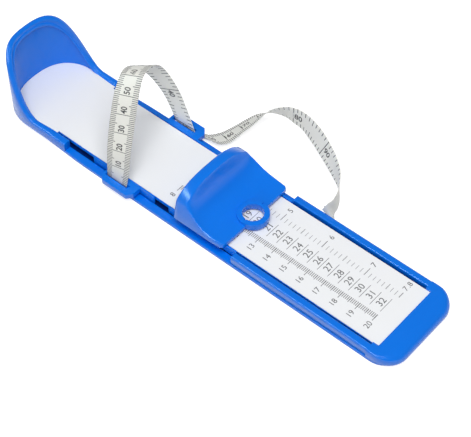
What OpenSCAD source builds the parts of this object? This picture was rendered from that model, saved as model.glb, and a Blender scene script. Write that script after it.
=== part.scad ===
// Foot measuring device for small feet: a moulded tray with a heel cup, a printed
// scale card, a toe slider with a reading window and a sliding carriage that
// carries a flexible tape for the girth of the foot.
// Millimetres. +X runs from heel to toe, +Y across, +Z up; the tray stands on Z = 0.

/* [Tray] */
// Overall length of the tray
tray_l = 256.5; // [215:0.5:310]
// Width of the tray at its base
tray_w = 51.5; // [50:0.5:62]
// Height of the heel cup's lip above the table
heel_h = 40; // [28:0.5:50]
// Length over which the lip falls from the back to the low rim
heel_fall = 29; // [22:0.5:36]
// Height of the low rim and of the ledges
rim_h = 7; // [6.6:0.1:9]
// Thickness of the moulded walls of the heel cup
wall_t = 3.2; // [2.6:0.1:3.8]
// Height of the base plate's rim
base_h = 2; // [1.6:0.1:2.4]
// Thickness of the base plate's sheet inside its rim
base_sheet = 0.8; // [0.6:0.1:0.9]
// How far the base plate stands out from the walls along the sides
base_step = 0.3; // [0.1:0.1:0.6]
// How far the base plate is set in under the heel and the toe end
base_inset = 1.6; // [1:0.1:2]
// Corner radius at the toe end
toe_r = 11; // [6:0.5:14]
// Length of the toe end beyond the scale card
toe_l = 12.3; // [10:0.1:16]

/* [Scale card] */
// Width of the card between the two slots
card_w = 40; // [36:0.5:42]
// Thickness of the card
card_t = 0.4; // [0.3:0.1:0.6]
// Thickness of the floor under the card
floor_t = 2; // [1.6:0.1:2.4]
// Free height under the floor
floor_z = 3.6; // [3.3:0.1:4.2]

/* [Slots and ledges] */
// Width of the slots beside the card
slot_w = 1.5; // [1.4:0.1:2]
// Distance from the inside of the heel to the start of the slots
slot_from = 38; // [34:0.5:44]
// Distance from the inside of the heel to the step down to the bare flange
step_from = 47; // [45:0.5:54]
// Distance from the inside of the heel to the start of the ledges
ledge_from = 157.5; // [150:0.5:166]

/* [Toe slider] */
// Foot length that the slider shows at rest
foot_l = 120; // [118:0.5:180]
// Length of the slider's body
slider_l = 31.7; // [28:0.1:36]
// Width of the slider's body at its base
slider_w = 50; // [48:0.2:50.6]
// Height of the arched crest that the toes touch, above the card
slider_h = 19.2; // [16:0.2:24]
// Height of the slider's plate at its back edge, above the card
slider_back = 3.3; // [3:0.1:4.5]
// Wall of the slider's shell
slider_t = 1.8; // [1.2:0.1:2.2]
// Outer diameter of the ring round the reading window
ring_d = 16.2; // [14:0.2:18]
// Diameter of the reading window
window_d = 10.8; // [9:0.2:12]
// Length of the slider's guide rails
slider_rail = 43.2; // [38:0.2:46]

/* [Tape carriage] */
// Distance from the inside of the heel to the middle of the carriage
girth_x = 85; // [83:0.5:86]
// Length of the carriage's brackets
bracket_l = 21; // [18:0.5:24]
// Overall width of the carriage
carriage_w = 58.8; // [57:0.2:64]
// Thickness of the brackets
bracket_t = 3; // [2:0.1:3.4]
// Length of the carriage's guide rails
carriage_rail = 41; // [36:0.5:44]

/* [Tape] */
// Thickness of the tape
tape_t = 0.4; // [0.3:0.05:0.6]

/* [Fits] */
// Running clearance between the sliding pieces and the tray
run = 0.3; // [0.2:0.05:0.4]
// Clearance round the card
card_gap = 0.15; // [0.1:0.05:0.3]

/* [Hidden] */
$fn = 64;

tray_blue = [0.08, 0.42, 0.90];
slide_blue = [0.10, 0.45, 0.93];
card_white = [0.93, 0.94, 0.96];
tape_grey = [0.80, 0.80, 0.75];

// Main places along X. Distances along the foot start at the inside of the heel.
end_x = tray_l / 2;
heel_x = -end_x + wall_t;
card_end = end_x - toe_l;
slot_x = heel_x + slot_from;
slot_end = card_end - 3;
step_x = heel_x + step_from;
ledge_x = heel_x + ledge_from;

// Main places across and up.
half_w = tray_w / 2;
wall_y = half_w - base_step;
slot_y = card_w / 2 + slot_w;
floor_top = floor_z + floor_t;
card_top = floor_top + card_t;

// The heel cup in plan is a superellipse; its middle lies heel_a from the apex.
heel_a = 22;
heel_n = 2.45;
heel_cx = heel_x + heel_a;
heel_iy = half_w - wall_t;

// Small helpers.
function mix(a, b, t) = a * (1 - t) + b * t;
function clamp01(t) = min(1, max(0, t));
function smooth(t) = let (c = clamp01(t)) c * c * (3 - 2 * c);
function spow(v, p) = sign(v) * pow(abs(v), p);
function superell(cx, rx, ry, a) =
    [cx - rx * pow(max(0, cos(a)), 2 / heel_n), ry * spow(sin(a), 2 / heel_n)];
function arc2(c, r, a0, a1, n) =
    [for (i = [0:n]) c + r * [cos(mix(a0, a1, i / n)), sin(mix(a0, a1, i / n))]];
function mirror_y(pts) = [for (i = [len(pts) - 1:-1:0]) [pts[i][0], -pts[i][1]]];

// Closed skin over rows of points, each row the same length and each a closed loop.
module loft(rows) {
    n = len(rows[0]);
    m = len(rows);
    sides = [for (i = [0:m - 2]) for (j = [0:n - 1]) let (k = (j + 1) % n)
        each [[i * n + j, (i + 1) * n + j, i * n + k],
              [i * n + k, (i + 1) * n + j, (i + 1) * n + k]]];
    first = [for (j = [0:n - 1]) j];
    last = [for (j = [n - 1:-1:0]) (m - 1) * n + j];
    polyhedron([for (r = rows) each r], concat([first], sides, [last]));
}

// ---------------------------------------------------------------- tray

// Height of the heel cup's lip over a place x: an S-shaped fall to the low rim.
function lip_z(x) =
    let (t = clamp01((heel_x - wall_t + heel_fall - x) / heel_fall))
    rim_h + (heel_h - rim_h) * smooth(pow(t, 1.08));

// Cross section of a rounded rim from the line o outside to the line i inside.
// ro and ri are how far the rounding reaches in from either side.
function rim_row(o, i, top, ro, ho, ri, hi) = let (w = norm(i - o), u = (i - o) / w)
    concat(
        [[i[0], i[1], base_h], [o[0], o[1], base_h]],
        [for (a = [0:22.5:90]) let (d = ro * (1 - cos(a)), p = o + u * d)
            [p[0], p[1], top - ho * (1 - sin(a))]],
        [for (a = [90:-22.5:0]) let (d = ri * (1 - cos(a)), p = i - u * d)
            [p[0], p[1], top - hi * (1 - sin(a))]]);

heel_round = (wall_t - base_step) * 0.49;
// The inner line of the rim runs from the cup into the outer side of the slot.
function rim_in(x) = mix(heel_iy, slot_y, smooth((x - heel_cx) / (slot_x - heel_cx)));

module heel_wall() {
    out_a = heel_cx + end_x;
    straight = [for (k = [0:4]) let (x = mix(slot_x, heel_cx, k / 5))
        [[x, -wall_y], [x, -rim_in(x)]]];
    bow = [for (a = [-90:5:90]) [superell(heel_cx, out_a, wall_y, a),
        superell(heel_cx, heel_a, heel_iy, a)]];
    back = [for (k = [4:-1:0]) let (s = straight[k])
        [[s[0][0], -s[0][1]], [s[1][0], -s[1][1]]]];
    line = concat(straight, bow, back);
    loft([for (s = line) rim_row(s[0], s[1], lip_z(s[0][0]),
        heel_round, heel_round, heel_round, heel_round)]);
}

// The low border round the toe end: steep at the sides, rolled off at the front.
toe_roll = 7;
toe_drop = 3.4;
module toe_border() {
    r = toe_r;
    x0 = slot_end;
    xi = card_end;
    yi = card_w / 2;
    cx = end_x - r;
    cy = half_w - r;
    near = concat(
        [[[x0, -half_w], [x0, -yi], 0], [[xi - 1, -half_w], [xi - 1, -yi], 0]],
        [for (k = [0:9]) let (a = -90 + k * 10)
            [[cx + r * cos(a), -cy + r * sin(a)],
             [xi, -mix(yi, yi - 5, k / 9)], smooth(k / 7)]]);
    far = [for (s = near) [[s[0][0], -s[0][1]], [s[1][0], -s[1][1]], s[2]]];
    back = [for (k = [len(near) - 1:-1:0]) near[k]];
    loft([for (s = concat(far, back)) rim_row(s[0], s[1], rim_h,
        mix(1.2, toe_roll, s[2]), mix(1.2, toe_drop, s[2]), 0.3, 0.3)]);
}

// Outline of the base plate: full width along the sides, set in at both ends.
base_taper = 40;
function base_y(x) = half_w - base_inset * (1 - smooth((x - heel_cx) / base_taper));
function base_outline() = let (r = toe_r + 0.6, cx = end_x - base_inset - r) concat(
    [for (a = [90:-5:-90]) superell(heel_cx, heel_cx + end_x - base_inset,
        half_w - base_inset, a)],
    [for (k = [1:5]) let (x = heel_cx + base_taper * k / 5) [x, -base_y(x)]],
    arc2([cx, -half_w + r], r, -90, 0, 9), arc2([cx, half_w - r], r, 0, 90, 9),
    [for (k = [5:-1:1]) let (x = heel_cx + base_taper * k / 5) [x, base_y(x)]]);

module base_plate() {
    seat = 1.2;
    color(tray_blue) union() {
        linear_extrude(base_sheet) polygon(base_outline());
        linear_extrude(base_h) difference() {
            polygon(base_outline());
            polygon(concat(
                [for (a = [90:-5:-90]) superell(heel_cx, heel_a - seat, heel_iy - seat, a)],
                [[slot_x, -slot_y], [card_end, -slot_y], [card_end, slot_y],
                 [slot_x, slot_y]]));
        }
    }
}

// Section of a ledge or rim beside a slot, in Y and Z, with its outer edge rounded.
ledge_round = 1.2;
module ledge_bar(x0, x1, cored = true) {
    core_w = (wall_y - slot_y) * 0.4;
    for (s = [1, -1]) difference() {
        translate([x0, 0, 0]) rotate([90, 0, 90]) linear_extrude(x1 - x0)
            polygon([for (p = concat([[slot_y, base_h], [wall_y, base_h]],
                arc2([wall_y - ledge_round, rim_h - ledge_round], ledge_round, 0, 90, 6),
                [[slot_y + 0.4, rim_h], [slot_y, rim_h - 0.4]])) [s * p[0], p[1]]]);
        if (cored) translate([x0 + 1.2, s * (slot_y + wall_y) / 2 - core_w / 2, 0])
            cube([x1 - x0 - 4.2, core_w, rim_h - 1.4]);
    }
}

// Floor under the card, open at both sides where the slots run.
module floor_plate() {
    lap = 0.8;
    translate([0, 0, floor_z]) linear_extrude(floor_t) polygon(concat(
        [for (a = [-90:5:90]) superell(heel_cx, heel_a + lap, heel_iy + lap, -a)],
        [[slot_x, -slot_y - lap], [slot_x, -card_w / 2],
         [slot_end, -card_w / 2], [slot_end, -slot_y - lap], [card_end + lap, -slot_y - lap],
         [card_end + lap, slot_y + lap], [slot_end, slot_y + lap],
         [slot_end, card_w / 2], [slot_x, card_w / 2], [slot_x, slot_y + lap]]));
}

module tray() {
    color(tray_blue) union() {
        heel_wall();
        ledge_bar(slot_x - 0.6, step_x, false);
        ledge_bar(ledge_x, slot_end + 1.5);
        toe_border();
        floor_plate();
    }
}

// ---------------------------------------------------------------- card

module scale_card() {
    g = card_gap;
    color(card_white) translate([0, 0, floor_top]) linear_extrude(card_t) polygon(concat(
        [for (a = [-90:5:90]) superell(heel_cx, heel_a - g, heel_iy - g, -a)],
        [for (k = [1:4]) let (x = mix(heel_cx, slot_x, k / 5)) [x, -rim_in(x) + g]],
        [[slot_x - g, -slot_y + g], [slot_x - g, -card_w / 2 + g],
         [card_end - g, -card_w / 2 + g], [card_end - g, card_w / 2 - g],
         [slot_x - g, card_w / 2 - g], [slot_x - g, slot_y - g]],
        [for (k = [4:-1:1]) let (x = mix(heel_cx, slot_x, k / 5)) [x, rim_in(x) - g]]));
}

// ---------------------------------------------------------------- guide rails

// A rail that runs in a slot, and a foot under the floor where foot_w is not zero.
rail_y = card_w / 2 + run;
rail_t = slot_w - 2 * run;
rail_top = card_top + 0.4;
module rail(x0, x1, z0) {
    for (s = [1, -1]) translate([x0, s > 0 ? rail_y : -rail_y - rail_t, z0])
        cube([x1 - x0, rail_t, rail_top - z0]);
}

// ---------------------------------------------------------------- toe slider

index_x = heel_x + foot_l + 30;
face_x = heel_x + foot_l;
slide_base = rim_h + run;
slider_end = face_x + slider_l;

// The shell is a headboard with an arched crest, whose scooped back runs down to a
// low plate. d is the distance behind the toe face and v runs from -1 to 1 across.
// Half width of the shell at a height z, with its upright corners rounded.
function shell_w(d, z) = let (r = d < slider_l / 2 ? corner_r : back_r,
    e = max(0, r - min(d, slider_l - d)))
    slider_w / 2 - lean * (z - slide_base) - (r - sqrt(max(0, r * r - e * e)));
// Height of the side walls.
function side_z(d) = card_top + slider_back + (slider_h * 0.63 - slider_back)
    / (1 + pow(d / (slider_l * 0.44), 4.2));
// Height of the crest's arch.
function crest_z(v) = card_top + slider_h * (0.63 + 0.37 * pow(1 - pow(abs(v), 3), 0.9));
// Height of the scoop behind the crest.
function scoop_z(d) = card_top + slider_back + (slider_h * 0.86 - slider_back)
    * exp(-max(0, d - crest_t - 1.4) / (slider_l * 0.15));
function top_z(d, v) = let (
    scoop = mix(scoop_z(d), side_z(d), pow(abs(v), lip_n)),
    e = max(0, crest_r - d),
    over = d < 0.6 * crest_r + crest_t ? 0 : smooth((d - crest_t) / 1.8))
    mix(crest_z(v), scoop, over) - (crest_r - sqrt(crest_r * crest_r - e * e))
        - (abs(v) > 0.995 ? 0.5 : 0);

corner_r = 1.6;
back_r = 3;
crest_r = 1.2;
crest_t = 5.4;
lip_n = 9;
lean = 0.18;
lean_x = 0.035;
cols = 16;
rows_d = concat([0, 0.12, 0.5, 1.2, 3.2, crest_t - 0.1],
    [for (d = [0.6, 1.2, 1.8, 2.8, 4.2, 6, 8.2, 10.8, 14, 18]) crest_t
        + d * (slider_l - crest_t) / 26.3],
    [slider_l - 1.6, slider_l - 0.7, slider_l - 0.2, slider_l]);
rows_n = len(rows_d) - 1;
function col_v(j) = sin(180 * j / cols - 90);
// Point of the outer skin at row k and column j, or of the inner skin, t inside it.
function skin(k, j, t) = let (
    v = col_v(j),
    d0 = rows_d[k],
    mid = slider_l / 2,
    d = mid + (d0 - mid) * (1 - 2 * t / slider_l),
    z = top_z(t > 0 ? min(slider_l, d + 0.75 * t) : d, v) - 0.8 * t,
    w = shell_w(d0, side_z(d0)) - t,
    x = face_x + d + lean_x * (z - slide_base) * (1 - d / slider_l))
    [x, v * w, z];
// Foot of the wall under a point of the skin's edge.
function foot(k, j, t) = let (d = slider_l / 2 + (rows_d[k] - slider_l / 2)
        * (1 - 2 * t / slider_l))
    [face_x + d, col_v(j) * (shell_w(rows_d[k], slide_base) - t), slide_base];

module slider_shell() {
    n = cols + 1;
    m = rows_n + 1;
    ring = concat([for (j = [0:cols - 1]) [0, j]], [for (k = [0:m - 2]) [k, cols]],
        [for (j = [cols:-1:1]) [m - 1, j]], [for (k = [m - 1:-1:1]) [k, 0]]);
    q = len(ring);
    function id(k, j) = k * n + j;
    o = 0;
    i = m * n;
    fo = 2 * m * n;
    fi = fo + q;
    pts = concat([for (k = [0:m - 1]) for (j = [0:cols]) skin(k, j, 0)],
        [for (k = [0:m - 1]) for (j = [0:cols]) skin(k, j, slider_t)],
        [for (r = ring) foot(r[0], r[1], 0)], [for (r = ring) foot(r[0], r[1], slider_t)]);
    grid = [for (k = [0:m - 2]) for (j = [0:cols - 1])
        each [[id(k, j), id(k, j + 1), id(k + 1, j)],
              [id(k + 1, j), id(k, j + 1), id(k + 1, j + 1)]]];
    under = [for (f = grid) [f[0] + i, f[2] + i, f[1] + i]];
    walls = [for (a = [0:q - 1]) let (b = (a + 1) % q,
            ta = id(ring[a][0], ring[a][1]), tb = id(ring[b][0], ring[b][1]))
        each [[ta, fo + a, tb], [tb, fo + a, fo + b],
              [ta + i, tb + i, fi + a], [tb + i, fi + b, fi + a],
              [fo + a, fi + a, fo + b], [fo + b, fi + a, fi + b]]];
    polyhedron(pts, concat(grid, under, walls));
}

ring_top = card_top + 5;
module toe_slider() {
    x0 = face_x + 5;
    x1 = slider_end - 1;
    hook = 2;
    web = slider_w / 2 - rail_y - slider_t / 2;
    color(slide_blue) difference() {
        union() {
            slider_shell();
            translate([index_x, 0, slide_base]) cylinder(d = ring_d, h = ring_top - slide_base);
            rail(face_x - 6, face_x - 6 + slider_rail, floor_z - run - 1.2);
            for (s = [1, -1]) {
                translate([x0, s > 0 ? rail_y : -rail_y - web, slide_base])
                    cube([x1 - x0, web, 1.2]);
                translate([x0, s > 0 ? rail_y : -rail_y - rail_t, floor_z])
                    cube([x1 - x0, rail_t, slide_base + 0.6 - floor_z]);
                translate([x0, s > 0 ? rail_y - hook : -rail_y - rail_t,
                    floor_z - run - 1.2]) cube([x1 - x0, rail_t + hook, 1.2]);
            }
        }
        translate([index_x, 0, slide_base - 1]) cylinder(d = window_d, h = 20);
        for (y = [ring_d / 2 - 0.7, -window_d / 2 - 0.3])
            translate([index_x - 0.4, y - 0.5, ring_top - 0.7]) cube([0.8, 1.4, 2]);
    }
}

// ---------------------------------------------------------------- tape carriage

carriage_x = heel_x + girth_x;
bracket_z = card_top + 0.5 - bracket_t;
tape_slot_y = [card_w / 2 + 3.6, card_w / 2 + 5.8];
tape_slot_l = 15;
pocket_floor = 1;
module bracket(s) {
    a = bracket_l / 2;
    yo = carriage_w / 2;
    yi = rail_y;
    c = 2.4;
    half = concat([[a, yi]], arc2([a - 1, yo - 3.4], 1, 0, 40, 3),
        arc2([a - c - 0.6, yo - 1], 1, 40, 90, 3));
    pts = concat(half, [for (k = [len(half) - 1:-1:0]) [-half[k][0], half[k][1]]]);
    translate([carriage_x, 0, bracket_z]) difference() {
        linear_extrude(bracket_t) polygon([for (p = pts) [p[0], s * p[1]]]);
        translate([-bracket_l / 2 + 1.4, s > 0 ? tape_slot_y[0] : -tape_slot_y[1],
            s > 0 ? -1 : pocket_floor])
            cube([tape_slot_l, tape_slot_y[1] - tape_slot_y[0], bracket_t + 2]);
    }
}

module tape_carriage() {
    low = 1.2;
    color(slide_blue) union() {
        rail(carriage_x - carriage_rail / 2 - 1, carriage_x + carriage_rail / 2 - 1, low);
        translate([carriage_x - bracket_l / 2, -rail_y - rail_t, low])
            cube([bracket_l, 2 * (rail_y + rail_t), floor_z - run - low]);
        bracket(1);
        bracket(-1);
    }
}

// ---------------------------------------------------------------- tape

// Routes of the tape's two edges at rest, first the edge towards the heel and then
// the edge towards the toes. The tape is a strip 12.75 mm wide.
loop_a = [[-48.7, -24.5, 4.5], [-48.1, -24.6, 14.3], [-48.4, -23.2, 23.9],
    [-49.4, -20.5, 33.3], [-50.4, -17, 42.6], [-51.7, -12.6, 51.4], [-53.5, -6, 57.6],
    [-55.4, -0.6, 56.8], [-57, 4.9, 53.1], [-57.8, 9.9, 48], [-57.1, 14.2, 41.9],
    [-55.2, 17.4, 35.6], [-53.6, 19.5, 30.1], [-52.1, 21.4, 24.3], [-50.6, 22.7, 18.4],
    [-48.9, 23.6, 12.5], [-47.5, 25, 5]];
loop_b = [[-36, -24.5, 4.5], [-35.8, -21.8, 14.5], [-36.2, -19.7, 24.5],
    [-37.5, -15.7, 33.8], [-38.8, -11.9, 43], [-39.8, -8.2, 52.2], [-41.6, -2.6, 60.3],
    [-44, 4.3, 60.1], [-46, 10.2, 56.6], [-47, 15, 51.9], [-46.2, 18.1, 46.6],
    [-43.8, 19.7, 41], [-41.9, 21.2, 34.9], [-40.5, 22.4, 28.9], [-38.6, 22.9, 22.9],
    [-36.7, 23.5, 16], [-34.8, 25, 5]];
tail_a = [[-47.5, 25, 5], [-47.2, 25.7, 3.1], [-44.5, 28.2, 1], [-38.5, 29.5, 0.6],
    [-31.5, 31, 0.6], [-27.7, 36, 0.6], [-26, 40.5, 0.7], [-24.5, 45.2, 1.1],
    [-22.4, 50.9, 2.4], [-19.3, 56.5, 4], [-13.1, 61.2, 5.2], [-6, 62.4, 6.2],
    [-0.8, 61.4, 7], [6.1, 60.4, 7.3], [10.5, 59, 6.9], [15.9, 57.1, 6.1],
    [21.1, 55.1, 4.9], [28.1, 52.2, 3.6], [35.2, 48.9, 2.5], [42.3, 44.9, 1.5],
    [46.7, 40, 1], [49.2, 35.4, 0.7], [49.9, 31.8, 0.6], [49.2, 29.4, 0.6]];
tail_b = [[-34.8, 25, 5], [-34.3, 25.7, 3.2], [-32, 26.6, 2], [-26.5, 26.8, 3.2],
    [-20, 27.6, 4.2], [-16.7, 31.4, 4.9], [-15.5, 36, 6.2], [-14.6, 40.1, 7.4],
    [-13.2, 44.9, 9], [-11.9, 49.3, 11.4], [-10.2, 54, 14.6], [-5.4, 57.6, 17.6],
    [0.4, 59.8, 19.5], [6.6, 60.6, 19.8], [12.7, 60, 19.4], [19.7, 58.2, 18.7],
    [26.1, 55.9, 17.1], [33.6, 52.3, 15.2], [41, 46.9, 13.8], [46.2, 39.9, 12.9],
    [48.7, 34.6, 12.6], [49.3, 30, 12.3], [48.9, 27.1, 12.3], [47.6, 26.8, 12.8]];

// Smooth line through the route's points, n steps to a span.
function knot(p, i) = i < 0 ? 2 * p[0] - p[1]
    : i >= len(p) ? 2 * p[len(p) - 1] - p[len(p) - 2] : p[i];
function along(p, n) = concat(
    [for (i = [0:len(p) - 2]) for (k = [0:n - 1]) let (t = k / n,
        a = knot(p, i - 1), b = knot(p, i), c = knot(p, i + 1), d = knot(p, i + 2))
        0.5 * (2 * b + (c - a) * t + (2 * a - 5 * b + 4 * c - d) * t * t
            + (3 * b - a - 3 * c + d) * t * t * t)],
    [p[len(p) - 1]]);

module strip(ea, eb, n) {
    a = along(ea, n);
    b = along(eb, n);
    m = len(a) - 1;
    loft([for (i = [0:m]) let (
        t = a[min(m, i + 1)] + b[min(m, i + 1)] - a[max(0, i - 1)] - b[max(0, i - 1)],
        c = cross(b[i] - a[i], t),
        h = c / norm(c) * tape_t / 2)
        [a[i] - h, b[i] - h, b[i] + h, a[i] + h]]);
}

module tape_loop() {
    color(tape_grey) strip(loop_a, loop_b, 2);
}

module tape_tail() {
    color(tape_grey) strip(tail_a, tail_b, 2);
}

tray();
base_plate();
scale_card();
toe_slider();
tape_carriage();
tape_loop();
tape_tail();
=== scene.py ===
"""A foot measuring device for small feet: its mouldings, printed card, printed tape
and photographic stage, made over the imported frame. Everything is in metres."""

import math

import bmesh
import bpy
from mathutils import Matrix, Vector


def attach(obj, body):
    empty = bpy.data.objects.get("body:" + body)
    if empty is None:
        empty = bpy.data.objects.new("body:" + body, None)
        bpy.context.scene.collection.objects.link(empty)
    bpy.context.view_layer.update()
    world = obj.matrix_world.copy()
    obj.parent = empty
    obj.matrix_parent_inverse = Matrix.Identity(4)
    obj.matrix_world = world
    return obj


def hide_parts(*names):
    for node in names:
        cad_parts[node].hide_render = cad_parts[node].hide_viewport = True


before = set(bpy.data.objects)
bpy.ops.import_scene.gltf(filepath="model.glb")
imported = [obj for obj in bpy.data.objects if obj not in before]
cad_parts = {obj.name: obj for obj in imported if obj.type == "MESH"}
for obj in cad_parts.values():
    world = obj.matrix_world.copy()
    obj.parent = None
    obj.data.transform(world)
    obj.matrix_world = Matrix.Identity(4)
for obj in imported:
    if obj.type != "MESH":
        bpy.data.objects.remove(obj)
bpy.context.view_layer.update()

bl_info = {
    "name": "Foot Measuring Device",
    "version": (1, 0, 0),
    "blender": (4, 5, 0),
    "location": "3D View > Sidebar > Foot Measure",
    "description": "Builds a foot measuring device with its printed scales and tape",
    "category": "Object",
}

MM = 0.001

# Routes of the tape's two edges in millimetres: the edge towards the heel, then the
# edge towards the toes; first the standing loop, then the tail on the table. The last
# points bend the bare end down behind the far ledge.
LOOP_HEEL_EDGE = [
    (-48.7, -24.5, 4.5), (-48.1, -24.6, 14.3), (-48.4, -23.2, 23.9), (-49.4, -20.5, 33.3),
    (-50.4, -17, 42.6), (-51.7, -12.6, 51.4), (-53.5, -6, 57.6), (-55.4, -0.6, 56.8),
    (-57, 4.9, 53.1), (-57.8, 9.9, 48), (-57.1, 14.2, 41.9), (-55.2, 17.4, 35.6),
    (-53.6, 19.5, 30.1), (-52.1, 21.4, 24.3), (-50.6, 22.7, 18.4), (-48.9, 23.6, 12.5),
    (-47.5, 25, 5),
]
LOOP_TOE_EDGE = [
    (-36, -24.5, 4.5), (-35.8, -21.8, 14.5), (-36.2, -19.7, 24.5), (-37.5, -15.7, 33.8),
    (-38.8, -11.9, 43), (-39.8, -8.2, 52.2), (-41.6, -2.6, 60.3), (-44, 4.3, 60.1),
    (-46, 10.2, 56.6), (-47, 15, 51.9), (-46.2, 18.1, 46.6), (-43.8, 19.7, 41),
    (-41.9, 21.2, 34.9), (-40.5, 22.4, 28.9), (-38.6, 22.9, 22.9), (-36.7, 23.5, 16),
    (-34.8, 25, 5),
]
TAIL_HEEL_EDGE = [
    (-47.5, 25, 5), (-47.2, 25.7, 3.1), (-44.5, 28.2, 1), (-38.5, 29.5, 0.6),
    (-31.5, 31, 0.6), (-27.7, 36, 0.6), (-26, 40.5, 0.7), (-24.5, 45.2, 1.1),
    (-22.4, 50.9, 2.4), (-19.3, 56.5, 4), (-13.1, 61.2, 5.2), (-6, 62.4, 6.2),
    (-0.8, 61.4, 7), (6.1, 60.4, 7.3), (10.5, 59, 6.9), (15.9, 57.1, 6.1),
    (21.1, 55.1, 4.9), (28.1, 52.2, 3.6), (35.2, 48.9, 2.5), (42.3, 44.9, 1.5),
    (46.7, 40, 1), (49.2, 35.4, 0.7), (50, 31.9, 0.6), (52.3, 29.1, 0.6),
    (54.4, 27.2, 0.5),
]
TAIL_TOE_EDGE = [
    (-34.8, 25, 5), (-34.3, 25.7, 3.2), (-32, 26.6, 2), (-26.5, 26.8, 3.2),
    (-20, 27.6, 4.2), (-16.7, 31.4, 4.9), (-15.5, 36, 6.2), (-14.6, 40.1, 7.4),
    (-13.2, 44.9, 9), (-11.9, 49.3, 11.4), (-10.2, 54, 14.6), (-5.4, 57.6, 17.6),
    (0.4, 59.8, 19.5), (6.6, 60.6, 19.8), (12.7, 60, 19.4), (19.7, 58.2, 18.7),
    (26.1, 55.9, 17.1), (33.6, 52.3, 15.2), (41, 46.9, 13.8), (46.2, 39.9, 12.9),
    (48.7, 34.6, 12.6), (49.6, 30.2, 12.3), (49, 27.4, 11.8), (48.1, 26.6, 9.8),
    (46.5, 26.3, 6.3),
]

# In millimetres, like the routes.
INCH = 25.4
TAPE_WIDTH = 12.75

# Where the tape bends unseen under the carriage's far bracket, and what the print of
# each face gains there.
HIDDEN_FROM = 131 * MM
HIDDEN_LENGTH = 8 * MM
FRONT_SLACK = 7 * MM
BACK_SLACK = 9.5 * MM
# The centimetre print stops short of the bare end.
BARE_END = 20 * MM
# Share of the tape's width left free between its edge and the ticks.
TICK_MARGIN = 0.004
# Places of the print's two materials in the tape's mesh.
STRONG_INK, FINE_INK = 2, 3

# Where the foot's zero lies along X, at the inside of the heel, and the card's face.
HEEL_X = -125.05
SCALE_ZERO_X = HEEL_X + 30
CARD_TOP = 6.0

# The heel cup in plan is a superellipse; its lip falls to the low rim in an S curve.
# From the heel's middle to the slots the rim's inner side closes in a little.
HEEL_REACH = 22.0
HEEL_MIDDLE_X = HEEL_X + HEEL_REACH
HEEL_HALF = 22.55
HEEL_POWER = 2.45
LIP_BACK_X = -128.25
LIP_FALL = 29.0
LIP_TOP = 40.0
RIM_TOP = 7.0
RIM_END_X = -87.05
RIM_END_HALF = 21.5
# Slices of the bead along each straight side, along the bow and round its section.
BEAD_SIDE_ROWS = 16
BEAD_BOW_ROWS = 60
BEAD_SECTION = 14

# Thickness of the base plate's sheet. The upward faces of its inside are painted dark
# blue as painted shade, for the shade under the tray.
BASE_SHEET = 0.8 * MM

# In a smoothed copy of a CAD piece, points closer than the weld are joined and faces
# flatter than the first angle are merged; edges sharper than the second are rounded,
# and those that are still sharper than the third are shaded as creases.
WELD = 0.004 * MM
FLAT_ANGLE = math.radians(0.6)
ROUND_ANGLE = math.radians(32)
CREASE_ANGLE = math.radians(34)

# The camera was fitted to the photograph's scale lines and outline.
CAMERA_PLACE = (0.32036, -0.35592, 0.56667)
CAMERA_RIGHT = (0.7589, 0.6512, 0.0)
CAMERA_BACK = (0.4178, -0.4869, 0.7670)
CAMERA_SHIFT = (-0.0041, -0.0207)

# Each lamp's place, width and height. All point at the aim.
LAMP_AIM = (0, 0, 0.02)
KEY_LAMP = ((0.35, -0.35, 1.35), 0.8, 0.8)
SIDE_LAMP = ((0.05, -0.9, 0.90), 1.4, 0.06)
EDGE_SHINE = ((-0.55, -0.80, 0.87), 1.8, 0.22)
EDGE_SHINE_COLOUR = (0.7, 1.0, 1.0)

# The room that shines in the plastic fades from white to dim between two heights.
WALL_HEIGHTS = (0.0, 0.4)
WALL_LEVELS = (1.0, 0.15)
ROOM_COLOUR = (0.97, 0.985, 1.0, 1)
FLOOR_COLOUR = (0.62, 0.62, 0.62, 1)
FLOOR_LIFT = 0.7


# ------------------------------------------------------------------ sizes and colours

class StageSizes(bpy.types.PropertyGroup):
    floor_size: bpy.props.FloatProperty(
        name="Floor Size", description="Side of the square floor",
        default=6.0, unit="LENGTH")
    lens: bpy.props.FloatProperty(
        name="Lens", description="Focal length of the camera in millimetres",
        default=115.14)
    key_power: bpy.props.FloatProperty(
        name="Key Light", description="Power of the large soft lamp in watts",
        default=15.0)
    side_power: bpy.props.FloatProperty(
        name="Side Light", description="Power of the long side lamp in watts",
        default=2.5)
    shine_power: bpy.props.FloatProperty(
        name="Edge Shine", description="Power of the lamp seen only in shiny edges",
        default=14.0)
    room_light: bpy.props.FloatProperty(
        name="Room Light", description="Level of the even light all round", default=0.30)


class MouldingFinish(bpy.types.PropertyGroup):
    tray_colour: bpy.props.FloatVectorProperty(
        name="Tray Colour", description="Blue of the tray and its base plate",
        subtype="COLOR", size=3, default=(0.0, 0.168, 0.76), min=0, max=1)
    slider_colour: bpy.props.FloatVectorProperty(
        name="Slider Colour", description="Blue of the toe slider and the carriage",
        subtype="COLOR", size=3, default=(0.0, 0.175, 0.79), min=0, max=1)
    # Painted shade: this dark blue stands for the shade inside the base plate, under the
    # tray and seen through the slots.
    inside_colour: bpy.props.FloatVectorProperty(
        name="Painted Shade Colour", description="Navy of the base plate's inside",
        subtype="COLOR", size=3, default=(0.002, 0.022, 0.15), min=0, max=1)
    edge_round: bpy.props.FloatProperty(
        name="Edge Rounding", description="Width of the rounding along moulded edges",
        default=0.3 * MM, unit="LENGTH")


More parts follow.
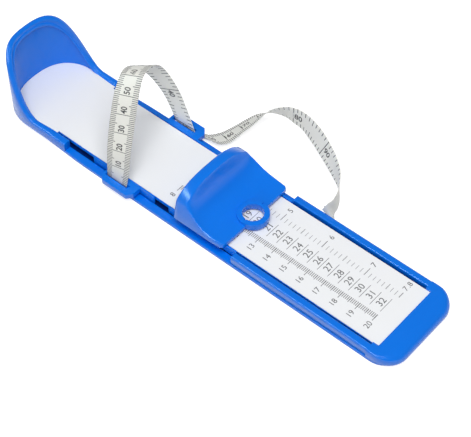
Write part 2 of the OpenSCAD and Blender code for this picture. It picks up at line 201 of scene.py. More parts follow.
class CardPrint(bpy.types.PropertyGroup):
    card_colour: bpy.props.FloatVectorProperty(
        name="Card Colour", description="Colour of the bare card",
        subtype="COLOR", size=3, default=(0.86, 0.87, 0.885), min=0, max=1)
    ink_colour: bpy.props.FloatVectorProperty(
        name="Ink Colour", description="Colour of the printed numbers and lines",
        subtype="COLOR", size=3, default=(0.13, 0.13, 0.135), min=0, max=1)
    size_digit: bpy.props.FloatProperty(
        name="Shoe Size Digits", description="Height of the shoe size numbers",
        default=3.5 * MM, unit="LENGTH")
    length_digit: bpy.props.FloatProperty(
        name="Length Digits", description="Height of the length numbers",
        default=2.9 * MM, unit="LENGTH")
    line_width: bpy.props.FloatProperty(
        name="Line Width", description="Width of the printed lines",
        default=0.25 * MM, unit="LENGTH")
    ink_thickness: bpy.props.FloatProperty(
        name="Ink Thickness", description="How far the print stands out of its surface",
        default=0.02 * MM, unit="LENGTH")


class TapeSizes(bpy.types.PropertyGroup):
    thickness: bpy.props.FloatProperty(
        name="Tape Thickness", description="Thickness of the flexible tape",
        default=0.4 * MM, unit="LENGTH")
    tick_width: bpy.props.FloatProperty(
        name="Tick Width", description="Width of the tape's printed ticks",
        default=0.4 * MM, unit="LENGTH")
    digit: bpy.props.FloatProperty(
        name="Tape Digits", description="Height of the tape's numbers",
        default=3.3 * MM, unit="LENGTH")
    front_colour: bpy.props.FloatVectorProperty(
        name="Front Colour", description="Colour of the face with the centimetres",
        subtype="COLOR", size=3, default=(0.80, 0.80, 0.75), min=0, max=1)
    back_colour: bpy.props.FloatVectorProperty(
        name="Back Colour", description="Colour of the face with the inches",
        subtype="COLOR", size=3, default=(0.95, 0.945, 0.88), min=0, max=1)
    ink_colour: bpy.props.FloatVectorProperty(
        name="Tape Ink", description="Colour of the tape's print",
        subtype="COLOR", size=3, default=(0.085, 0.085, 0.085), min=0, max=1)


# ------------------------------------------------------------------ shader groups

def group_socket(tree, name, direction, kind, value=None):
    socket = tree.interface.new_socket(name=name, in_out=direction, socket_type=kind)
    if value is not None:
        socket.default_value = value


def feed(tree, socket, value):
    """Sets the socket to a number, or links an output to it."""
    if isinstance(value, (int, float)):
        socket.default_value = value
    else:
        tree.links.new(value, socket)


def math_node(tree, operation, *values):
    node = tree.nodes.new("ShaderNodeMath")
    node.operation = operation
    for socket, value in zip(node.inputs, values):
        feed(tree, socket, value)
    return node.outputs[0]


def noise_node(tree, scale, detail, roughness=0.5):
    """Noise over the object's own coordinates."""
    place = tree.nodes.new("ShaderNodeTexCoord")
    node = tree.nodes.new("ShaderNodeTexNoise")
    tree.links.new(place.outputs["Object"], node.inputs["Vector"])
    feed(tree, node.inputs["Scale"], scale)
    feed(tree, node.inputs["Detail"], detail)
    feed(tree, node.inputs["Roughness"], roughness)
    return node.outputs["Fac"]


def range_node(tree, value, source, target, interpolation="LINEAR"):
    """The value, mapped from the source span to the target span."""
    node = tree.nodes.new("ShaderNodeMapRange")
    node.interpolation_type = interpolation
    names = ("Value", "From Min", "From Max", "To Min", "To Max")
    for name, item in zip(names, (value, *source, *target)):
        feed(tree, node.inputs[name], item)
    return node.outputs[0]


def mottled(tree, colour, spread, noise):
    """The colour, made darker and lighter by half the spread where the noise goes."""
    level = math_node(tree, "MULTIPLY_ADD", spread, -0.5, 1.0)
    shade = math_node(tree, "MULTIPLY_ADD", noise, spread, level)
    tint = tree.nodes.new("ShaderNodeVectorMath")
    tint.operation = "SCALE"
    tree.links.new(colour, tint.inputs[0])
    tree.links.new(shade, tint.inputs["Scale"])
    return tint.outputs[0]


def surface_group(name, colour, numbers):
    """A new group with a colour and the named numbers as inputs, whose outputs are
    Colour, Roughness and Height."""
    tree = bpy.data.node_groups.new(name, "ShaderNodeTree")
    group_socket(tree, "Colour", "INPUT", "NodeSocketColor", colour)
    for key, value in numbers.items():
        group_socket(tree, key, "INPUT", "NodeSocketFloat", value)
    group_socket(tree, "Colour", "OUTPUT", "NodeSocketColor")
    group_socket(tree, "Roughness", "OUTPUT", "NodeSocketFloat")
    group_socket(tree, "Height", "OUTPUT", "NodeSocketFloat")
    source = tree.nodes.new("NodeGroupInput").outputs
    out = tree.nodes.new("NodeGroupOutput").inputs
    return tree, source, out


def moulded_skin_group():
    """Faint flow clouds, a fine spark-eroded grain and handling marks of a moulding."""
    name = "Moulded Skin"
    if name in bpy.data.node_groups:
        return bpy.data.node_groups[name]
    tree, source, out = surface_group(name, (0.1, 0.3, 0.8, 1), {
        "Tone Spread": 0.06, "Grain Size": 1400.0,
        "Roughness Low": 0.25, "Roughness High": 0.38})
    clouds = noise_node(tree, 26, 3)
    marks = noise_node(tree, 90, 5, 0.62)
    grain = noise_node(tree, source["Grain Size"], 2)
    link = tree.links.new
    link(mottled(tree, source["Colour"], source["Tone Spread"], clouds), out["Colour"])
    span = (source["Roughness Low"], source["Roughness High"])
    link(range_node(tree, marks, (0.35, 0.68), span), out["Roughness"])
    link(grain, out["Height"])
    return tree


def printed_sheet_group():
    """Slight mottling and surface tooth of a printed plastic sheet or tape."""
    name = "Printed Sheet"
    if name in bpy.data.node_groups:
        return bpy.data.node_groups[name]
    tree, source, out = surface_group(name, (0.8, 0.8, 0.8, 1), {
        "Mottle": 0.03, "Tooth Size": 2600.0})
    mottle = noise_node(tree, 60, 4)
    tooth = noise_node(tree, source["Tooth Size"], 2)
    link = tree.links.new
    link(mottled(tree, source["Colour"], source["Mottle"], mottle), out["Colour"])
    link(range_node(tree, mottle, (0.3, 0.7), (0.42, 0.56)), out["Roughness"])
    link(tooth, out["Height"])
    return tree


def finish_material(name, group, values, bump, specular):
    """A material whose group drives its colour, roughness and fine relief."""
    mat = bpy.data.materials.new(name)
    mat.use_nodes = True
    n, link = mat.node_tree.nodes, mat.node_tree.links.new
    shader = n["Principled BSDF"]
    skin = n.new("ShaderNodeGroup")
    skin.node_tree = group
    skin.label = group.name
    for key, value in values.items():
        skin.inputs[key].default_value = value
    relief = n.new("ShaderNodeBump")
    relief.inputs["Strength"].default_value = 0.5
    relief.inputs["Distance"].default_value = bump
    link(skin.outputs["Colour"], shader.inputs["Base Color"])
    link(skin.outputs["Roughness"], shader.inputs["Roughness"])
    link(skin.outputs["Height"], relief.inputs["Height"])
    link(relief.outputs["Normal"], shader.inputs["Normal"])
    shader.inputs["Specular IOR Level"].default_value = specular
    return mat


def rgba(colour):
    return (*colour, 1.0)


def moulding_material(name, colour, low=0.2, high=0.27):
    return finish_material(
        name, moulded_skin_group(),
        {"Colour": rgba(colour), "Tone Spread": 0.05, "Grain Size": 1500.0,
         "Roughness Low": low, "Roughness High": high},
        bump=0.004 * MM, specular=0.5)


def sheet_material(name, colour, mottle=0.03, tooth=2600.0):
    return finish_material(
        name, printed_sheet_group(),
        {"Colour": rgba(colour), "Mottle": mottle, "Tooth Size": tooth},
        bump=0.01 * MM, specular=0.35)


# ------------------------------------------------------------------ mesh helpers

def add_object(name, mesh):
    piece = bpy.data.objects.new(name, mesh)
    bpy.context.scene.collection.objects.link(piece)
    return piece


def join_meshes(name, parts, materials):
    """One mesh from (mesh, material index) pairs; the parts are used up."""
    shape = bmesh.new()
    for mesh, index in parts:
        first = len(shape.faces)
        shape.from_mesh(mesh)
        shape.faces.ensure_lookup_table()
        for face in shape.faces[first:]:
            if index is not None:
                face.material_index = index
        bpy.data.meshes.remove(mesh)
    joined = bpy.data.meshes.new(name)
    shape.to_mesh(joined)
    shape.free()
    for mat in materials:
        joined.materials.append(mat)
    return joined


def move_points(mesh, rule):
    """Moves every vertex by rule(x, y, z)."""
    for vertex in mesh.vertices:
        vertex.co = rule(*vertex.co)
    mesh.update()


def number(text, height, ink, stretch=1.0, bold=0.0):
    """A flat number, centred at the origin, its digits height tall and ink thick.
    Stretch widens or narrows it, and bold is added all round its strokes."""
    curve = bpy.data.curves.new("number", "FONT")
    curve.body = text
    curve.size = height
    curve.extrude = ink
    curve.offset = bold
    curve.resolution_u = 3
    carrier = add_object("number", curve)
    bpy.context.view_layer.update()
    evaluated = carrier.evaluated_get(bpy.context.evaluated_depsgraph_get())
    mesh = bpy.data.meshes.new_from_object(evaluated)
    bpy.data.objects.remove(carrier)
    bpy.data.curves.remove(curve)
    mesh.materials.clear()
    xs = [v.co.x for v in mesh.vertices]
    ys = [v.co.y for v in mesh.vertices]
    grow = height / (max(ys) - min(ys))
    mid_x = (max(xs) + min(xs)) / 2
    mid_y = (max(ys) + min(ys)) / 2
    move_points(mesh, lambda x, y, z: ((x - mid_x) * grow * stretch,
                                       (y - mid_y) * grow, z))
    shape = bmesh.new()
    shape.from_mesh(mesh)
    bmesh.ops.remove_doubles(shape, verts=shape.verts, dist=1e-7)
    bmesh.ops.recalc_face_normals(shape, faces=shape.faces)
    shape.to_mesh(mesh)
    shape.free()
    return mesh


def tick_row_tree():
    """Nodes for a row of equal printed ticks along X, each lying across Y."""
    name = "Tick Row"
    if name in bpy.data.node_groups:
        return bpy.data.node_groups[name]
    tree = bpy.data.node_groups.new(name, "GeometryNodeTree")
    group_socket(tree, "Count", "INPUT", "NodeSocketInt", 10)
    group_socket(tree, "Pitch", "INPUT", "NodeSocketFloat", 0.001)
    group_socket(tree, "Tick Length", "INPUT", "NodeSocketFloat", 0.002)
    group_socket(tree, "Tick Width", "INPUT", "NodeSocketFloat", 0.0002)
    group_socket(tree, "Ink Thickness", "INPUT", "NodeSocketFloat", 0.00004)
    group_socket(tree, "Ink", "INPUT", "NodeSocketMaterial")
    group_socket(tree, "Geometry", "OUTPUT", "NodeSocketGeometry")
    n, link = tree.nodes, tree.links.new
    source = n.new("NodeGroupInput")
    out = n.new("NodeGroupOutput")
    step = n.new("ShaderNodeCombineXYZ")
    link(source.outputs["Pitch"], step.inputs["X"])
    row = n.new("GeometryNodeMeshLine")
    row.mode = "OFFSET"
    link(source.outputs["Count"], row.inputs["Count"])
    link(step.outputs[0], row.inputs["Offset"])
    size = n.new("ShaderNodeCombineXYZ")
    link(source.outputs["Tick Width"], size.inputs["X"])
    link(source.outputs["Tick Length"], size.inputs["Y"])
    link(source.outputs["Ink Thickness"], size.inputs["Z"])
    tick = n.new("GeometryNodeMeshCube")
    link(size.outputs[0], tick.inputs["Size"])
    ticks = n.new("GeometryNodeInstanceOnPoints")
    link(row.outputs["Mesh"], ticks.inputs["Points"])
    link(tick.outputs["Mesh"], ticks.inputs["Instance"])
    real = n.new("GeometryNodeRealizeInstances")
    link(ticks.outputs["Instances"], real.inputs["Geometry"])
    inked = n.new("GeometryNodeSetMaterial")
    link(real.outputs["Geometry"], inked.inputs["Geometry"])
    link(source.outputs["Ink"], inked.inputs["Material"])
    link(inked.outputs["Geometry"], out.inputs["Geometry"])
    return tree


def tick_row(count, pitch, length, width, ink, material):
    """A baked row of ticks; the first one is centred at the origin."""
    tree = tick_row_tree()
    carrier = add_object("tick_row", bpy.data.meshes.new("tick_row"))
    rows = carrier.modifiers.new("Tick Row", "NODES")
    rows.node_group = tree
    values = {"Count": count, "Pitch": pitch, "Tick Length": length,
              "Tick Width": width, "Ink Thickness": 2 * ink, "Ink": material}
    for item in tree.interface.items_tree:
        if item.item_type == "SOCKET" and item.in_out == "INPUT":
            rows[item.identifier] = values[item.name]
    evaluated = carrier.evaluated_get(bpy.context.evaluated_depsgraph_get())
    mesh = bpy.data.meshes.new_from_object(evaluated)
    carrier.modifiers.clear()
    bpy.data.objects.remove(carrier)
    mesh.materials.clear()
    return mesh


def moulded_copy(node, name, edge_round):
    """A merged copy of a CAD node with its moulded edges rounded and shaded smooth."""
    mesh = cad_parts[node].data.copy()
    mesh.name = name
    mesh.materials.clear()
    shape = bmesh.new()
    shape.from_mesh(mesh)
    bmesh.ops.remove_doubles(shape, verts=shape.verts, dist=WELD)
    bmesh.ops.dissolve_degenerate(shape, edges=shape.edges, dist=WELD)
    bmesh.ops.dissolve_limit(shape, angle_limit=FLAT_ANGLE, verts=shape.verts,
                             edges=shape.edges)
    shape.to_mesh(mesh)
    shape.free()
    piece = add_object(name, mesh)
    bevel = piece.modifiers.new("Moulded Edges", "BEVEL")
    bevel.width = edge_round
    bevel.segments = 2
    bevel.limit_method = "ANGLE"
    bevel.angle_limit = ROUND_ANGLE
    bevel.use_clamp_overlap = True
    evaluated = piece.evaluated_get(bpy.context.evaluated_depsgraph_get())
    rounded = bpy.data.meshes.new_from_object(evaluated)
    piece.modifiers.clear()
    piece.data = rounded
    shape = bmesh.new()
    shape.from_mesh(rounded)
    for face in shape.faces:
        face.smooth = True
    for edge in shape.edges:
        edge.smooth = len(edge.link_faces) == 2 and edge.calc_face_angle(0) < CREASE_ANGLE
    shape.to_mesh(rounded)
    shape.free()
    return piece


# ------------------------------------------------------------------ the tape

def smooth_line(points, steps):
    """A smooth line through the route's points, steps to a span, in metres."""
    points = [Vector(p) * MM for p in points]
    ends = [2 * points[0] - points[1]] + points + [2 * points[-1] - points[-2]]
    line = []
    for i in range(len(points) - 1):
        a, b, c, d = ends[i:i + 4]
        for k in range(steps):
            t = k / steps
            line.append(0.5 * (2 * b + (c - a) * t + (2 * a - 5 * b + 4 * c - d) * t * t
                               + (3 * b - a - 3 * c + d) * t ** 3))
    line.append(points[-1])
    return line


class TapeRoute:
    """The tape's two edges, the way along its middle and the face normals."""

    def __init__(self, steps=8):
        self.a = (smooth_line(LOOP_HEEL_EDGE, steps)
                  + smooth_line(TAIL_HEEL_EDGE, steps)[1:])
        self.b = (smooth_line(LOOP_TOE_EDGE, steps)
                  + smooth_line(TAIL_TOE_EDGE, steps)[1:])
        self.middle = [(p + q) / 2 for p, q in zip(self.a, self.b)]
        self.way = [0.0]
        for p, q in zip(self.middle, self.middle[1:]):
            self.way.append(self.way[-1] + (q - p).length)
        last = len(self.middle) - 1
        self.normals = []
        for i in range(last + 1):
            ahead = self.middle[min(last, i + 1)] - self.middle[max(0, i - 1)]
            self.normals.append((self.b[i] - self.a[i]).cross(ahead).normalized())
        self.length = self.way[-1]
        self.row = 0

    def at(self, s):
        """Both edges and the normal at the way s from the start."""
        s = min(max(s, 0.0), self.length)
        while self.row > 0 and self.way[self.row] > s:
            self.row -= 1
        while self.row < len(self.way) - 2 and self.way[self.row + 1] < s:
            self.row += 1
        i = self.row
        t = (s - self.way[i]) / (self.way[i + 1] - self.way[i])
        return (self.a[i].lerp(self.a[i + 1], t), self.b[i].lerp(self.b[i + 1], t),
                self.normals[i].lerp(self.normals[i + 1], t).normalized())

    def print_way(self, s, front):
        """Where a printed distance lies. The bend hidden under the bracket is drawn
        wider than the real one, so the print gains on the route there."""
        slack = FRONT_SLACK if front else BACK_SLACK
        return s - slack * min(max((s - HIDDEN_FROM) / HIDDEN_LENGTH, 0.0), 1.0)

    def wrap(self, mesh, start, across, thickness, front):
        """Lays a flat print on the tape, its middle at start and the part across of
        the width away from the heel's edge. Numbers read along the tape."""
        def rule(x, y, z):
            a, b, normal = self.at(self.print_way(start + x, front))
            width = (b - a).length
            share = across + (-y if front else y) / width
            lift = thickness / 2 + z
            return a.lerp(b, share) + normal * (lift if front else -lift)
        move_points(mesh, rule)
        return mesh


def tape_ribbon(route, thickness):
    """The bare tape: a closed strip with a rounded edge on each side."""
    # Points round the section: share of the width, and height in half thicknesses.
    upper = [(0.006, 0.8), (0.02, 1.0), (0.25, 1.0), (0.5, 1.0), (0.75, 1.0),
             (0.98, 1.0), (0.994, 0.8)]
    lower = [(w, -h) for w, h in reversed(upper)]
    section = [(0.0, 0.0)] + upper + [(1.0, 0.0)] + lower
    shape = bmesh.new()
    along = shape.loops.layers.uv.new("Along")
    rows = []
    for a, b, normal in zip(route.a, route.b, route.normals):
        rows.append([shape.verts.new(a.lerp(b, w) + normal * (h * thickness / 2))
                     for w, h in section])
    count = len(section)
    for i in range(len(rows) - 1):
        for j in range(count):
            k = (j + 1) % count
            corners = ((i, j), (i, k), (i + 1, k), (i + 1, j))
            face = shape.faces.new([rows[r][c] for r, c in corners])
            face.smooth = True
            face.material_index = 0 if j < count // 2 else 1
            for loop, (r, c) in zip(face.loops, corners):
                loop[along].uv = (route.way[r] * 10, section[c][0])
    shape.faces.new(list(reversed(rows[0])))
    shape.faces.new(rows[-1])
    bmesh.ops.recalc_face_normals(shape, faces=shape.faces)
    ribbon = bpy.data.meshes.new("ribbon")
    shape.to_mesh(ribbon)
    shape.free()
    return ribbon


class TapeFace:
    """The print of one face as (mesh, material index) pairs. Places and lengths along
    the tape are in millimetres."""

    def __init__(self, route, sizes, ink, material, front):
        self.route = route
        self.sizes = sizes
        self.ink = ink
        self.material = material
        self.front = front
        self.prints = []

    def lay(self, mesh, at, across, tone):
        self.route.wrap(mesh, at * MM, across, self.sizes.thickness, self.front)
        self.prints.append((mesh, tone))

    def ticks(self, first, count, pitch, length, across=0.5, wide=1.0, tone=STRONG_INK):
        """A row of ticks, wide times the usual width."""
        mesh = tick_row(count, pitch * MM, length * MM, self.sizes.tick_width * wide,
                        self.ink, self.material)
        self.lay(mesh, first, across, tone)

    def edge_ticks(self, first, count, pitch, length, wide=1.0):
        """The same row of fine ticks along each edge."""
        reach = length / 2 / TAPE_WIDTH + TICK_MARGIN
        for across in (reach, 1 - reach):
            self.ticks(first, count, pitch, length, across, wide, FINE_INK)

    def number(self, text, at, height, **shape):
        self.lay(number(text, height, self.ink, **shape), at, 0.5, STRONG_INK)


def tape_front_print(route, sizes, ink, material):
    """Centimetre side: millimetre ticks on both edges, a line and a number each 10 mm."""
    face = TapeFace(route, sizes, ink, material, True)
    total = int((route.length + FRONT_SLACK - BARE_END) / MM)
    face.edge_ticks(1, total - 1, 1, 2.9)
    face.edge_ticks(5, (total - 5) // 10 + 1, 10, 3.9)
    face.ticks(10, total // 10, 10, 7.6, wide=0.75)
    for tens in range(10, total - 3, 10):
        face.number(str(tens), tens + 2.5, sizes.digit, stretch=0.86, bold=0.07 * MM)
    return face.prints


def tape_back_print(route, sizes, ink, material):
    """Inch side: tenths on both edges, a line across and a number at each inch."""
    face = TapeFace(route, sizes, ink, material, False)
    total = int((route.length + BACK_SLACK) / MM / INCH * 10)
    face.edge_ticks(INCH / 10, total, INCH / 10, 2.8, 1.2)
    face.edge_ticks(INCH / 2, total // 5, INCH / 2, 3.8, 1.2)
    face.ticks(INCH, total // 10, INCH, 12.5, wide=1.1)
    for n in range(1, total // 10 + 1):
        face.number(str(10 * n), INCH * n + 3.2, sizes.digit * 1.15, bold=0.08 * MM)
    return face.prints


class FOOT_OT_tape(bpy.types.Operator):
    """Flexible measuring tape with both printed faces, looped over the tray"""

    bl_idname = "foot_measure.tape"
    bl_label = "Measuring Tape"

    def execute(self, context):
        sizes = context.scene.foot_tape
        ink = context.scene.foot_card.ink_thickness
        route = TapeRoute()
        front = sheet_material("Tape Front", sizes.front_colour, mottle=0.06)
        back = sheet_material("Tape Back", sizes.back_colour, mottle=0.08)
        print_ink = sheet_material("Tape Ink", sizes.ink_colour, mottle=0.2)
        fine_ink = sheet_material("Tape Fine Ink", [c * 2.2 for c in sizes.ink_colour],
                                  mottle=0.2)
        parts = [(tape_ribbon(route, sizes.thickness), None)]
        parts += tape_front_print(route, sizes, ink, print_ink)
        parts += tape_back_print(route, sizes, ink, print_ink)
        mesh = join_meshes("measuring_tape", parts, [front, back, print_ink, fine_ink])
        tape = add_object("measuring_tape", mesh)
        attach(tape, "carriage")
        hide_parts("tape_loop", "tape_tail")
        tuple(route.middle[0])
        [tuple(p) for p in route.middle[::3] + route.middle[-1:]]
        return {"FINISHED"}


# ------------------------------------------------------------------ the card

def card_x(scale_mm):
    """Place along X of a distance from the card's own zero."""
    return (SCALE_ZERO_X + scale_mm) * MM


def printed_on_card(mesh, scale_mm, y_mm, turned):
    """Puts a flat print on the card; numbers are turned to read across the tray."""
    def rule(x, y, z):
        if turned:
            x, y = -y, x
        return (card_x(scale_mm) + x, y_mm * MM + y, CARD_TOP * MM + z)
    move_points(mesh, rule)
    return mesh


class FOOT_OT_card_print(bpy.types.Operator):
    """Printed scales on the card: centimetres, shoe sizes and inches"""

    bl_idname = "foot_measure.card_print"
    bl_label = "Card Print"

    def execute(self, context):
        sizes = context.scene.foot_card
        ink = sizes.ink_thickness
        line = sizes.line_width
        dark = sheet_material("Card Ink", sizes.ink_colour, mottle=0.25)
        pale = sheet_material("Card Fine Ink", [c * 2.1 for c in sizes.ink_colour],
                              mottle=0.25)
        parts = []

        def row(first, count, pitch, near, far, width, tone):
            """Ticks lying between the places near and far across the tray."""
            mesh = tick_row(count, pitch * MM, (far - near) * MM, width, ink, dark)
            parts.append((printed_on_card(mesh, first, (near + far) / 2, False), tone))

        def label(text, at, y, height):
            mesh = number(text, height, ink)
            parts.append((printed_on_card(mesh, at, y, True), 0))

        # Centimetres: a band of fine millimetre lines with longer ticks.
        row(80, 121, 1, -8.8, -6.1, 0.42 * MM, 1)
        row(85, 12, 10, -9.5, -6.1, line, 0)
        row(80, 13, 10, -10.4, -6.1, line * 1.2, 0)
        for cm in range(8, 21):
            label(str(cm), cm * 10, -13.6, sizes.length_digit)
        # Shoe sizes between long separators; the last separator stands at 199.75 mm.
        pitch = 6.195
        first_line = 199.75 - 18 * pitch
        row(first_line, 19, pitch, -3.9, 5.2, line, 0)
        for step in range(18):
            label(str(15 + step), first_line + (step + 0.52) * pitch, 0.75,
                  sizes.size_digit)
        # Inches in tenths.
        offset = 3.35
        row(INCH * 3.4 + offset, 45, INCH / 10, 8.0, 10.9, line, 1)
        row(INCH * 3.5 + offset, 5, INCH, 8.0, 11.7, line, 0)
        row(INCH * 4 + offset, 4, INCH, 8.0, 12.9, line * 1.2, 0)
        row(INCH * 7.8 + offset, 1, INCH, 8.2, 11.6, line * 1.2, 0)
        for whole in range(4, 8):
            label(str(whole), INCH * whole + offset, 15.8, sizes.length_digit)
        for text, y in (("7", 14.2), (".8", 17.3)):
            label(text, INCH * 7.8 + offset - 0.7, y, sizes.length_digit * 0.95)

        mesh = join_meshes("scale_print", parts, [dark, pale])
        piece = add_object("scale_print", mesh)
        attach(piece, "tray")

        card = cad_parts["scale_card"].data
        card.materials.clear()
        card.materials.append(sheet_material("Card Stock", sizes.card_colour,
                                             mottle=0.02, tooth=1800.0))
        return {"FINISHED"}


# ------------------------------------------------------------------ the mouldings

def heel_point(inset, angle):
    """Plan point of the heel cup, inset from the wall's inner line, in millimetres."""
    c, n = math.cos(angle), math.sin(angle)
    return (HEEL_MIDDLE_X - (HEEL_REACH - inset) * max(0.0, c) ** (2 / HEEL_POWER),
            (HEEL_HALF - inset) * math.copysign(abs(n) ** (2 / HEEL_POWER), n))


def lip_height(x):
    """Height of the heel cup's lip over a place x, in millimetres."""
    t = min(1.0, max(0.0, (LIP_BACK_X + LIP_FALL - x) / LIP_FALL)) ** 1.08
    return RIM_TOP + (LIP_TOP - RIM_TOP) * t * t * (3 - 2 * t)


def heel_bead(inwards, height):
    """The rounded bead inside the lip of the heel cup, thinning out along the sides."""
    side = []
    for k in range(1, BEAD_SIDE_ROWS + 1):
        gone = k / BEAD_SIDE_ROWS
        x = HEEL_MIDDLE_X + (RIM_END_X - HEEL_MIDDLE_X) * gone
        y = HEEL_HALF + (RIM_END_HALF - HEEL_HALF) * gone * gone * (3 - 2 * gone)
        side.append((x, y, 1 - gone))
    line = [((x, -y), (0, 1), x, grown) for x, y, grown in reversed(side)]
    for k in range(BEAD_BOW_ROWS + 1):
        angle = math.radians(180 * k / BEAD_BOW_ROWS - 90)
        here = Vector(heel_point(0, angle))
        ahead = Vector(heel_point(0, angle + 0.01)) - Vector(heel_point(0, angle - 0.01))
        inner = (ahead.y, -ahead.x)
        size = math.hypot(*inner)
        line.append((here, (inner[0] / size, inner[1] / size), here.x, 1.0))
    line += [((x, y), (0, -1), x, grown) for x, y, grown in side]
    shape = bmesh.new()
    rows = []
    for point, inner, x, grown in line:
        reach = inwards * (0.45 + 0.55 * grown)
        top = lip_height(x) - 0.2 - 0.15 * grown
        ring = []
        for i in range(BEAD_SECTION):
            turn = 2 * math.pi * i / BEAD_SECTION
            out = reach * math.cos(turn) - 0.45
            up = height * (0.45 + 0.55 * grown) * (math.sin(turn) - 1)
            ring.append(shape.verts.new(((point[0] + inner[0] * out) * MM,
                                         (point[1] + inner[1] * out) * MM,
                                         (top + up) * MM)))
        rows.append(ring)
    for low, high in zip(rows, rows[1:]):
        for i in range(BEAD_SECTION):
            k = (i + 1) % BEAD_SECTION
            face = shape.faces.new((low[i], low[k], high[k], high[i]))
            face.smooth = True
    shape.faces.new(rows[0])
    shape.faces.new(list(reversed(rows[-1])))
    bmesh.ops.recalc_face_normals(shape, faces=shape.faces)
    bead = bpy.data.meshes.new("heel_bead")
    shape.to_mesh(bead)
    shape.free()
    return bead


class FOOT_OT_tray(bpy.types.Operator):
    """Moulded tray with its heel cup and ledges, and the base plate under it"""

    bl_idname = "foot_measure.tray"
    bl_label = "Tray and Base Plate"

    def execute(self, context):
        finish = context.scene.foot_finish
        blue = moulding_material("Tray Plastic", finish.tray_colour)
        # The base plate's inside gets a dark blue painted shade, for the shade under the
        # tray.
        painted_shade_blue = moulding_material("Base Painted Shade", finish.inside_colour)
        for node, name in (("tray", "tray_moulding"), ("base_plate", "base_moulding")):
            piece = moulded_copy(node, name, finish.edge_round)
            if node == "tray":
                parts = [(piece.data.copy(), 0), (heel_bead(1.35, 1.5), 0)]
                piece.data = join_meshes(name, parts, [blue])
            else:
                piece.data.materials.append(blue)
                piece.data.materials.append(painted_shade_blue)
                # Upward faces of the sheet inside take the painted shade; the rest keeps
                # the tray's blue.
                for face in piece.data.polygons:
                    inside = face.center.z < BASE_SHEET + 0.1 * MM and face.normal.z > 0.5
                    face.material_index = 1 if inside else 0
            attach(piece, "tray")
            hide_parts(node)
        return {"FINISHED"}


class FOOT_OT_slider(bpy.types.Operator):
    """Toe slider with its reading ring"""

    bl_idname = "foot_measure.slider"
    bl_label = "Toe Slider"

    def execute(self, context):
        finish = context.scene.foot_finish
        blue = moulding_material("Slider Plastic", finish.slider_colour, 0.18, 0.25)
        piece = moulded_copy("toe_slider", "slider_moulding", finish.edge_round)
        piece.data.materials.append(blue)
        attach(piece, "slider")
        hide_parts("toe_slider")
        return {"FINISHED"}


class FOOT_OT_carriage(bpy.types.Operator):
    """Carriage that holds the tape beside the tray"""

    bl_idname = "foot_measure.carriage"
    bl_label = "Tape Carriage"

    def execute(self, context):
        finish = context.scene.foot_finish
        blue = moulding_material("Carriage Plastic", finish.slider_colour, 0.18, 0.25)
        piece = moulded_copy("tape_carriage", "carriage_moulding", finish.edge_round)
        piece.data.materials.append(blue)
        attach(piece, "carriage")
        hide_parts("tape_carriage")
        return {"FINISHED"}


# ------------------------------------------------------------------ the stage

def white_for_camera(tree):
    """A factor of 1 for the rays that don't light matt surfaces."""
    path = tree.nodes.new("ShaderNodeLightPath").outputs
    seen = math_node(tree, "MAXIMUM", path["Is Camera Ray"], path["Is Transmission Ray"])
    return math_node(tree, "MAXIMUM", seen, path["Is Glossy Ray"])


def white_walls(tree):
    """The room that shines in the plastic: white walls and a dim ceiling. The camera
    itself sees white all round."""
    way = tree.nodes.new("ShaderNodeTexCoord")
    parts = tree.nodes.new("ShaderNodeSeparateXYZ")
    tree.links.new(way.outputs["Generated"], parts.inputs[0])
    level = range_node(tree, parts.outputs["Z"], WALL_HEIGHTS, WALL_LEVELS, "SMOOTHSTEP")
    path = tree.nodes.new("ShaderNodeLightPath").outputs
    return math_node(tree, "MAXIMUM", level, path["Is Camera Ray"])


def floor_material():
    """Pale floor that shows white to the camera and still takes the soft shadow."""
    mat = bpy.data.materials.new("Studio Floor")
    mat.use_nodes = True
    tree = mat.node_tree
    n, link = tree.nodes, tree.links.new
    shader = n["Principled BSDF"]
    shader.inputs["Base Color"].default_value = FLOOR_COLOUR
    shader.inputs["Roughness"].default_value = 0.9
    shader.inputs["Specular IOR Level"].default_value = 0.0
    glow = n.new("ShaderNodeEmission")
    lift = math_node(tree, "MULTIPLY", white_for_camera(tree), FLOOR_LIFT)
    link(lift, glow.inputs["Strength"])
    both = n.new("ShaderNodeAddShader")
    link(shader.outputs[0], both.inputs[0])
    link(glow.outputs[0], both.inputs[1])
    link(both.outputs[0], n["Material Output"].inputs["Surface"])
    return mat


def soft_lamp(name, lamp, power):
    """A rectangular lamp, given as its place, width and height, that lights the tray."""
    place, width, height = lamp
    light = bpy.data.lights.new(name, "AREA")
    light.shape = "RECTANGLE"
    light.size = width
    light.size_y = height
    light.energy = power
    piece = add_object(name, light)
    away = Vector(place) - Vector(LAMP_AIM)
    turn = away.to_track_quat("Z", "Y").to_matrix().to_4x4()
    piece.matrix_world = Matrix.Translation(place) @ turn
    return piece


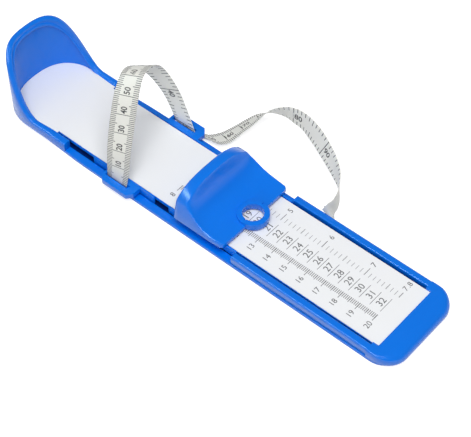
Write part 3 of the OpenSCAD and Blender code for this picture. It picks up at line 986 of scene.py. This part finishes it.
class FOOT_OT_stage(bpy.types.Operator):
    """Camera, floor, lamps and white surroundings"""

    bl_idname = "foot_measure.stage"
    bl_label = "Stage"

    def execute(self, context):
        sizes = context.scene.foot_stage
        scene = context.scene

        data = bpy.data.cameras.new("view")
        data.sensor_fit = "HORIZONTAL"
        data.sensor_width = 36
        data.lens = sizes.lens
        data.shift_x, data.shift_y = CAMERA_SHIFT
        data.clip_start = 0.02
        data.clip_end = 30
        camera = add_object("view", data)
        right = Vector(CAMERA_RIGHT).normalized()
        back = Vector(CAMERA_BACK).normalized()
        up = back.cross(right).normalized()
        right = up.cross(back)
        turn = Matrix((right, up, back)).transposed().to_4x4()
        camera.matrix_world = Matrix.Translation(CAMERA_PLACE) @ turn
        scene.camera = camera

        shape = bmesh.new()
        bmesh.ops.create_grid(shape, x_segments=8, y_segments=8,
                              size=sizes.floor_size / 2)
        plane = bpy.data.meshes.new("floor")
        shape.to_mesh(plane)
        shape.free()
        plane.materials.append(floor_material())
        floor = add_object("floor", plane)

        world = bpy.data.worlds.new("studio")
        world.use_nodes = True
        tree = world.node_tree
        room = tree.nodes["Background"]
        room.inputs["Color"].default_value = ROOM_COLOUR
        room.inputs["Strength"].default_value = sizes.room_light
        white = tree.nodes.new("ShaderNodeBackground")
        white.inputs["Color"].default_value = (1, 1, 1, 1)
        tree.links.new(white_walls(tree), white.inputs["Strength"])
        mixed = tree.nodes.new("ShaderNodeMixShader")
        tree.links.new(white_for_camera(tree), mixed.inputs[0])
        tree.links.new(room.outputs[0], mixed.inputs[1])
        tree.links.new(white.outputs[0], mixed.inputs[2])
        tree.links.new(mixed.outputs[0], tree.nodes["World Output"].inputs["Surface"])
        scene.world = world

        key = soft_lamp("key_lamp", KEY_LAMP, sizes.key_power)
        key.visible_glossy = False
        soft_lamp("side_lamp", SIDE_LAMP, sizes.side_power)
        shine = soft_lamp("edge_shine", EDGE_SHINE, sizes.shine_power)
        shine.visible_diffuse = False
        shine.data.color = EDGE_SHINE_COLOUR
        scene.view_settings.view_transform = "Standard"
        return {"FINISHED"}


# ------------------------------------------------------------------ panel and running

class FOOT_PT_panel(bpy.types.Panel):
    """Buttons for the pieces of the foot measuring device"""

    bl_idname = "FOOT_PT_panel"
    bl_label = "Foot Measuring Device"
    bl_space_type = "VIEW_3D"
    bl_region_type = "UI"
    bl_category = "Foot Measure"

    def draw(self, context):
        for cls in OPERATORS:
            self.layout.operator(cls.bl_idname)
        for group in ("foot_stage", "foot_finish", "foot_card", "foot_tape"):
            box = self.layout.box()
            settings = getattr(context.scene, group)
            for name in settings.bl_rna.properties.keys():
                if name not in ("rna_type", "name"):
                    box.prop(settings, name)


GROUPS = {
    "foot_stage": StageSizes,
    "foot_finish": MouldingFinish,
    "foot_card": CardPrint,
    "foot_tape": TapeSizes,
}
OPERATORS = (FOOT_OT_stage, FOOT_OT_tape, FOOT_OT_card_print, FOOT_OT_tray,
             FOOT_OT_slider, FOOT_OT_carriage)


def register():
    for name, cls in GROUPS.items():
        bpy.utils.register_class(cls)
        setattr(bpy.types.Scene, name, bpy.props.PointerProperty(type=cls))
    for cls in (*OPERATORS, FOOT_PT_panel):
        bpy.utils.register_class(cls)


def unregister():
    for cls in reversed((*OPERATORS, FOOT_PT_panel)):
        bpy.utils.unregister_class(cls)
    for name, cls in reversed(GROUPS.items()):
        delattr(bpy.types.Scene, name)
        bpy.utils.unregister_class(cls)


def main():
    register()
    bpy.ops.foot_measure.stage()
    bpy.ops.foot_measure.tape()
    bpy.ops.foot_measure.card_print()
    bpy.ops.foot_measure.tray()
    bpy.ops.foot_measure.slider()
    bpy.ops.foot_measure.carriage()


if __name__ == "__main__":
    main()
